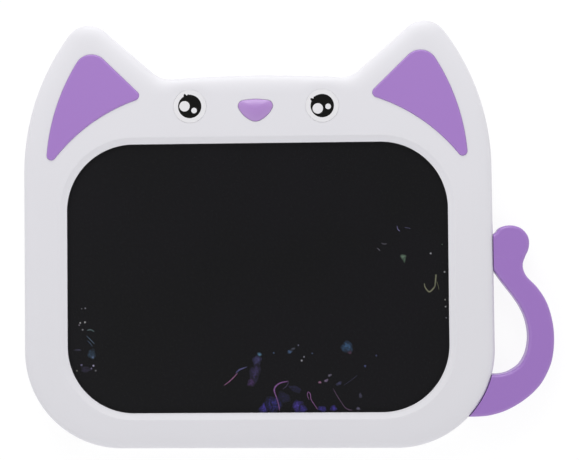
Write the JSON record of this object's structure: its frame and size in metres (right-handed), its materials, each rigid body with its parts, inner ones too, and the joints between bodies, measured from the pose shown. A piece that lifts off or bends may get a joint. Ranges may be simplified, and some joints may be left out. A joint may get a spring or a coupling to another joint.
{
  "type": "lcd writing tablet",
  "caption": "Cat-head writing tablet lying on its back: white two-shell case with purple ears, nose erase button, black film window, tail handle and stowed stylus.",
  "frame": {"origin": "on the flat back, straight under the middle of the screen window", "axes": "+Z out of the screen, +X towards the tail handle, +Y towards the ears"},
  "size_m": [0.2455, 0.1978, 0.0154],
  "materials": {
    "white_shell": "fine satin moulded ABS",
    "white_cap": "gloss moulded, printed pupil",
    "purple_ear": "satin moulded ABS",
    "purple_tail": "satin moulded ABS",
    "purple_nose": "semi-gloss moulded ABS",
    "lcd_film": "smooth dark pressure-sensitive film",
    "black_foam": "matt adhesive foam",
    "backing_board": "matt sheet",
    "flexible_print": "amber film",
    "circuit_board": "green solder mask",
    "black_resin": "cured resin",
    "switch_black": "matt moulded",
    "switch_brown": "matt moulded",
    "contact_steel": "nickel-plated",
    "cell_steel": "drawn can",
    "screw_steel": "zinc-plated",
    "stylus_white": "satin moulded",
    "nib_grey": "satin acetal"
  },
  "bodies": {
    "casing": {"front_shell": "white_shell", "rear_cover": "white_shell", "film_tape_frame": "black_foam", "lcd_film": "lcd_film", "backing_board": "backing_board", "lcd_ribbon": "flexible_print", "circuit_board": "circuit_board", "board_screw_1": "screw_steel", "board_screw_2": "screw_steel", "board_screw_3": "screw_steel", "board_screw_4": "screw_steel", "controller_chip": "black_resin", "erase_switch_body": "switch_black", "lock_switch_body": "switch_black", "positive_contact": "contact_steel", "negative_contact": "contact_steel", "coin_cell": "cell_steel", "left_ear_inlay": "purple_ear", "right_ear_inlay": "purple_ear", "left_eye_cap": "white_cap", "right_eye_cap": "white_cap", "tail_handle": "purple_tail", "case_screw_1": "screw_steel", "case_screw_2": "screw_steel", "case_screw_3": "screw_steel", "case_screw_4": "screw_steel", "case_screw_5": "screw_steel", "case_screw_6": "screw_steel", "case_screw_7": "screw_steel", "case_screw_8": "screw_steel", "case_screw_9": "screw_steel"},
    "nose": {"nose_button": "purple_nose"},
    "erase_plunger": {"erase_switch_plunger": "switch_brown"},
    "lock_knob": {"lock_slider": "purple_tail"},
    "lock_stem": {"lock_switch_stem": "switch_black"},
    "door": {"battery_door": "white_shell", "battery_door_screw": "screw_steel"},
    "stylus": {"stylus_barrel": "stylus_white", "stylus_nib": "nib_grey", "stylus_end_cap": "purple_tail"}
  },
  "joints": [
    {"name": "nose_press", "type": "slide", "parent": "casing", "child": "nose", "axis": [0, 0, -1], "range_m": [0, 0.0005], "stiffness_N_per_m": 1500},
    {"name": "plunger_press", "type": "slide", "parent": "casing", "child": "erase_plunger", "axis": [0, 0, -1], "range_m": [0, 0.0005]},
    {"name": "lock_slide", "type": "slide", "parent": "casing", "child": "lock_knob", "axis": [1, 0, 0], "range_m": [0, 0.003]},
    {"name": "lock_stem_slide", "type": "slide", "parent": "casing", "child": "lock_stem", "axis": [1, 0, 0], "range_m": [0, 0.003]},
    {"name": "door_hinge", "type": "hinge", "parent": "casing", "child": "door", "pos_m": [0.00575, 0.077, 0.00095], "axis": [0, 1, 0], "range_deg": [0, 85]},
    {"name": "stylus_slide", "type": "slide", "parent": "casing", "child": "stylus", "axis": [-1, 0, 0], "range_m": [0, 0.115]}
  ],
  "couplings": [
    {"joint": "plunger_press", "follows": "nose_press", "ratio": 1},
    {"joint": "lock_stem_slide", "follows": "lock_slide", "ratio": 1}
  ]
}
